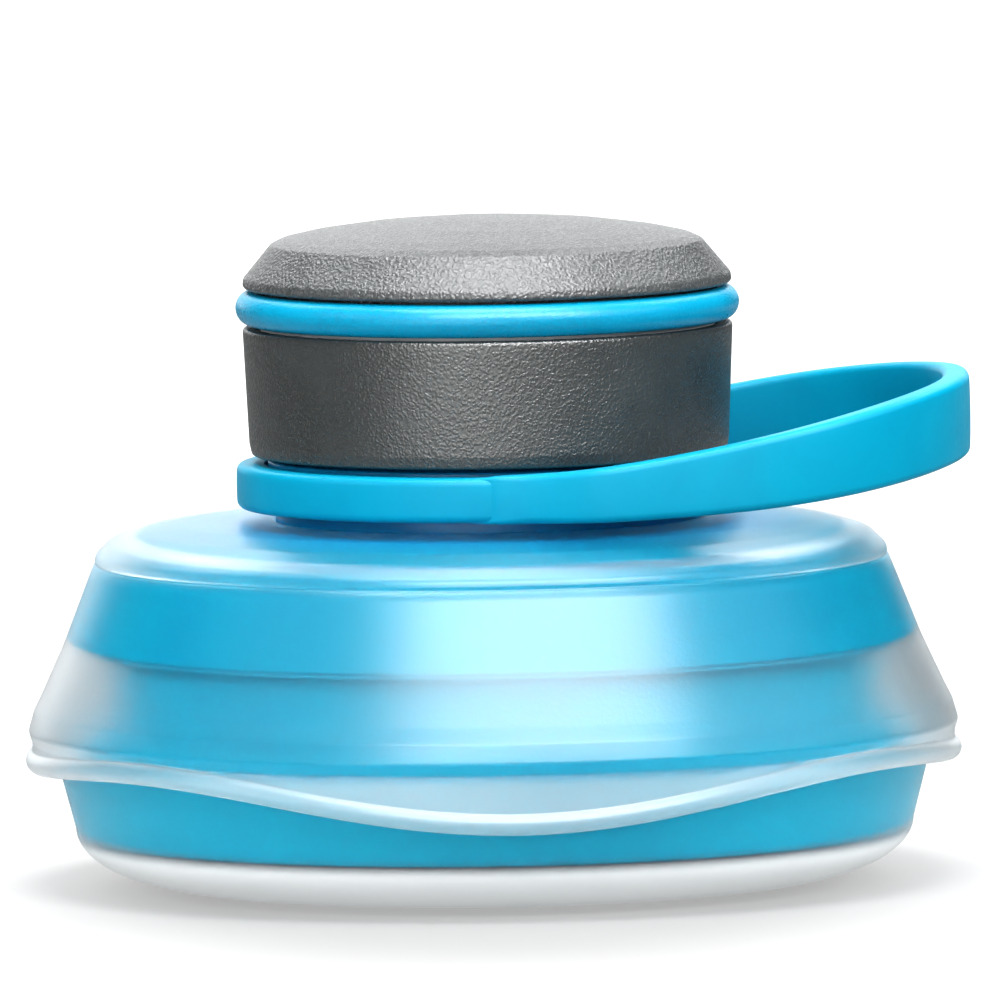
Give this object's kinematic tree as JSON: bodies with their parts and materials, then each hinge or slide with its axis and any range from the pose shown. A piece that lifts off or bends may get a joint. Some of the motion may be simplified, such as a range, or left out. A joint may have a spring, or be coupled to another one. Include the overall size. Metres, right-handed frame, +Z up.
{
  "type": "folding water bottle",
  "caption": "Collapsible bottle folded flat: base cup, pleated film sleeve, top shell with wavy lip, threaded neck, screw cap, swivel carry loop.",
  "frame": {"origin": "centre of the flat foot of the base cup, on the surface it stands on", "axes": "+Z up along the bottle's axis and the way it unfolds; +X towards the side that the carry loop lies on; -Y is the side facing the viewer"},
  "size_m": [0.0912, 0.09, 0.0639],
  "materials": {
    "base_shell": "frosted translucent",
    "top_shell": "frosted translucent",
    "film": "thin translucent blue film",
    "neck": "satin translucent",
    "strap": "satin elastomer",
    "cap_grain": "fine leather-like grain",
    "cap_accent": "satin elastomer",
    "cap_liner": "moulded",
    "gasket": "soft silicone"
  },
  "bodies": {
    "base": {"base_cup": "base_shell", "sleeve_lower_cuff": "film", "film_sleeve": "film"},
    "top": {"top_shell": "top_shell", "sleeve_upper_cuff": "film", "threaded_neck": "neck"},
    "ring": {"handle_ring": "strap"},
    "loop": {"carry_loop": "strap"},
    "cap_lift": {"cap_gasket": "gasket"},
    "cap": {"cap_outer_skirt": "cap_grain", "cap_threaded_liner": "cap_liner", "cap_sealing_disc": "cap_liner", "cap_accent_ring": "cap_accent", "cap_domed_top": "cap_grain"}
  },
  "joints": [
    {"name": "expand", "type": "slide", "parent": "base", "child": "top", "axis": [0, 0, 1], "range_m": [0, 0.15], "deforming": ["film_sleeve"]},
    {"name": "handle_swivel", "type": "hinge", "parent": "top", "child": "ring", "pos_m": [0, 0, 0.0384], "axis": [0, 0, 1], "continuous": true},
    {"name": "handle_swing", "type": "hinge", "parent": "ring", "child": "loop", "pos_m": [0, 0, 0.0384], "axis": [0, -1, 0], "range_deg": [-4, 75], "stiffness_Nm_per_rad": 0.02, "springref_deg": 1.72},
    {"name": "cap_rise", "type": "slide", "parent": "top", "child": "cap_lift", "axis": [0, 0, 1], "range_m": [0, 0.012]},
    {"name": "cap_turn", "type": "hinge", "parent": "cap_lift", "child": "cap", "pos_m": [0, 0, 0.0475], "axis": [0, 0, 1], "range_deg": [0, 1080.5]}
  ],
  "couplings": [
    {"joint": "cap_turn", "follows": "cap_rise", "rad_per_m": 1570.8}
  ]
}
